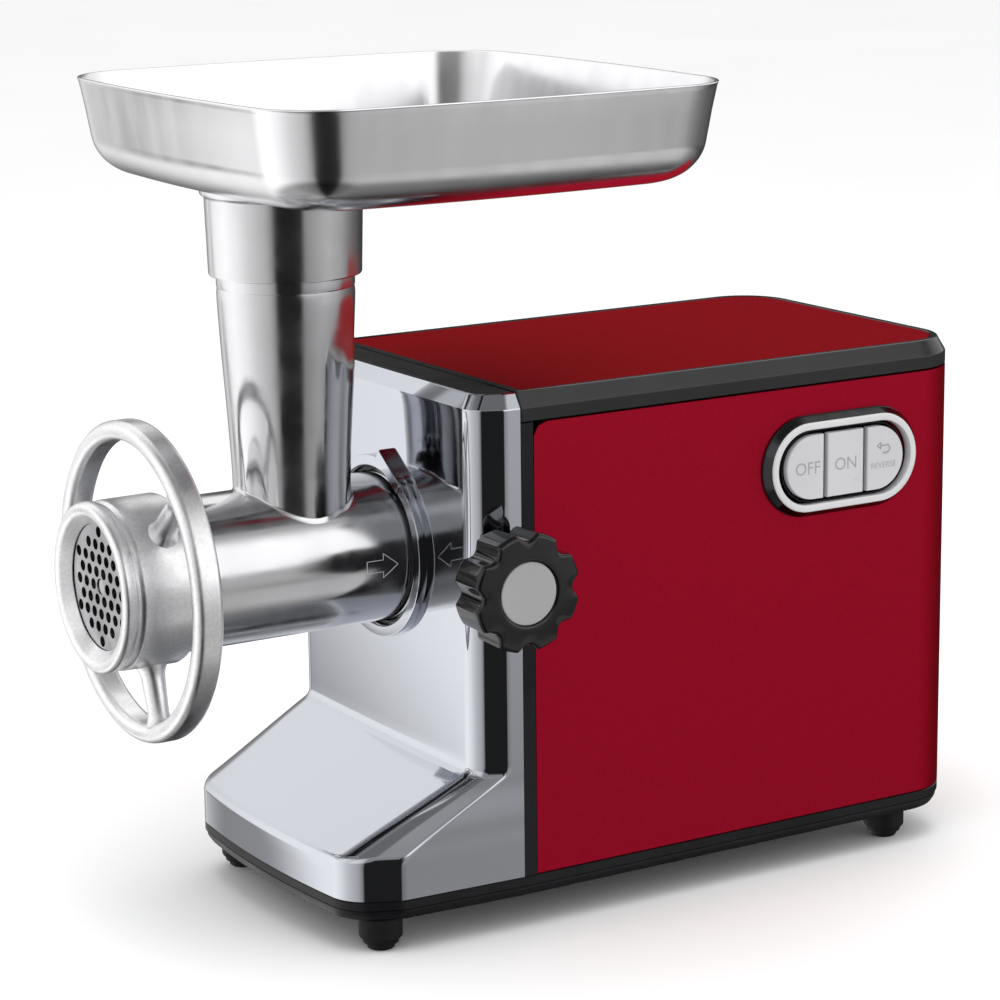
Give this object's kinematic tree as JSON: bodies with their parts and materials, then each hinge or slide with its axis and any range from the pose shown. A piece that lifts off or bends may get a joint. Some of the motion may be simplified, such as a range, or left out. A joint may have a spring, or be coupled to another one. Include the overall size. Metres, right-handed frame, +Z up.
{
  "type": "electric meat grinder",
  "caption": "Tabletop electric meat grinder: motor housing with chrome front, side keys and lock knob, and a removable grinding head with worm, plate, handwheel nut and tray.",
  "frame": {"origin": "bottom centre of the whole at rest, on the surface it stands on", "axes": "-Y is where the mince leaves, +X is the side with the keys and the lock knob, +Z is up"},
  "size_m": [0.237, 0.43, 0.383],
  "materials": {
    "black_plastic": "satin black moulded plastic",
    "black_rubber": "black rubber",
    "chrome": "mirror chrome plating",
    "red_paint": "metallic dark red paint under clear coat",
    "cast_aluminium": "polished cast aluminium",
    "satin_aluminium": "satin cast aluminium",
    "tray_aluminium": "polished pressed aluminium",
    "steel": "ground steel",
    "gear_case": "rough die-cast",
    "gloss_black": "gloss black moulding",
    "cap_grey": "satin grey",
    "button_silver": "silver paint on plastic",
    "white_plastic": "natural nylon",
    "board": "solder-masked board",
    "copper": "varnished copper winding on a steel core",
    "bronze": "sintered bronze",
    "carbon": "pressed carbon"
  },
  "bodies": {
    "housing": {"base": "black_plastic", "front_frame": "black_plastic", "top_rim": "black_plastic", "top_front_strip": "black_plastic", "control_well": "black_plastic", "body_shell": "red_paint", "top_panel": "red_paint", "front_casing": "chrome", "socket_ring": "chrome", "control_bezel": "chrome", "head_socket": "gear_case", "cord_inlet": "black_rubber", "switch_off": "gloss_black", "switch_on": "gloss_black", "switch_reverse": "gloss_black", "control_board": "board", "stator": "steel", "motor_bracket_front": "gear_case", "motor_bracket_rear": "gear_case", "motor_bearing_front": "bronze", "motor_bearing_rear": "bronze", "brush_left": "carbon", "brush_right": "carbon", "gear_pin_first": "steel", "gear_pin_second": "steel", "output_bearing": "bronze", "gearbox_housing": "gear_case", "gearbox_cover": "gear_case", "foot_front_left": "black_rubber", "base_screw_front_left": "steel", "foot_front_right": "black_rubber", "base_screw_front_right": "steel", "foot_rear_left": "black_rubber", "base_screw_rear_left": "steel", "foot_rear_right": "black_rubber", "base_screw_rear_right": "steel", "gearbox_screw_1": "steel", "gearbox_screw_2": "steel", "gearbox_screw_3": "steel", "gearbox_screw_4": "steel"},
    "off_button": {"button_off": "button_silver"},
    "on_button": {"button_on": "button_silver"},
    "reverse_button": {"button_reverse": "button_silver"},
    "rotor": {"rotor": "copper", "fan": "white_plastic"},
    "first_cluster": {"gear_first": "white_plastic"},
    "second_cluster": {"gear_second": "white_plastic"},
    "output": {"gear_output": "steel", "drive_coupling": "steel"},
    "head": {"head_casting": "cast_aluminium", "worm_bush": "bronze", "key_pin": "steel"},
    "worm": {"worm": "cast_aluminium", "blade": "steel"},
    "plate": {"mincing_plate": "steel"},
    "nut": {"ring_nut": "satin_aluminium"},
    "tray": {"tray": "tray_aluminium"},
    "clamp": {"clamp_screw": "steel"},
    "knob": {"lock_knob": "gloss_black", "knob_cap": "cap_grey"}
  },
  "joints": [
    {"name": "off_press", "type": "slide", "parent": "housing", "child": "off_button", "axis": [-1, 0, 0], "range_m": [0, 0.002], "stiffness_N_per_m": 300},
    {"name": "on_press", "type": "slide", "parent": "housing", "child": "on_button", "axis": [-1, 0, 0], "range_m": [0, 0.002], "stiffness_N_per_m": 300},
    {"name": "reverse_press", "type": "slide", "parent": "housing", "child": "reverse_button", "axis": [-1, 0, 0], "range_m": [0, 0.002], "stiffness_N_per_m": 300},
    {"name": "rotor_spin", "type": "hinge", "parent": "housing", "child": "rotor", "pos_m": [0.00002, -0.044, 0.08389], "axis": [0, -1, 0], "continuous": true},
    {"name": "first_cluster_spin", "type": "hinge", "parent": "housing", "child": "first_cluster", "pos_m": [-0.00559, -0.044, 0.1103], "axis": [0, -1, 0], "continuous": true},
    {"name": "second_cluster_spin", "type": "hinge", "parent": "housing", "child": "second_cluster", "pos_m": [-0.02528, -0.044, 0.13376], "axis": [0, -1, 0], "continuous": true},
    {"name": "output_spin", "type": "hinge", "parent": "housing", "child": "output", "pos_m": [0, -0.044, 0.1673], "axis": [0, -1, 0], "continuous": true},
    {"name": "head_slide", "type": "slide", "parent": "housing", "child": "head", "axis": [0, -1, 0], "range_m": [0, 0.045]},
    {"name": "worm_spin", "type": "hinge", "parent": "head", "child": "worm", "pos_m": [0, -0.044, 0.1673], "axis": [0, -1, 0], "continuous": true},
    {"name": "plate_slide", "type": "slide", "parent": "head", "child": "plate", "axis": [0, -1, 0], "range_m": [0, 0.01]},
    {"name": "nut_turn", "type": "hinge", "parent": "plate", "child": "nut", "pos_m": [0, -0.044, 0.1673], "axis": [0, -1, 0], "range_deg": [0, 1440]},
    {"name": "tray_lift", "type": "slide", "parent": "head", "child": "tray", "axis": [0, 0, 1], "range_m": [0, 0.06]},
    {"name": "clamp_slide", "type": "slide", "parent": "housing", "child": "clamp", "axis": [1, 0, 0], "range_m": [0, 0.003]},
    {"name": "knob_turn", "type": "hinge", "parent": "clamp", "child": "knob", "pos_m": [0, -0.0585, 0.1673], "axis": [1, 0, 0], "range_deg": [0, 720]}
  ],
  "couplings": [
    {"joint": "first_cluster_spin", "follows": "rotor_spin", "ratio": -0.2},
    {"joint": "second_cluster_spin", "follows": "rotor_spin", "ratio": 0.045},
    {"joint": "output_spin", "follows": "rotor_spin", "ratio": -0.011842},
    {"joint": "worm_spin", "follows": "rotor_spin", "ratio": -0.011842},
    {"joint": "plate_slide", "follows": "nut_turn", "m_per_rad": 0.00039789},
    {"joint": "clamp_slide", "follows": "knob_turn", "m_per_rad": 0.00023873}
  ]
}
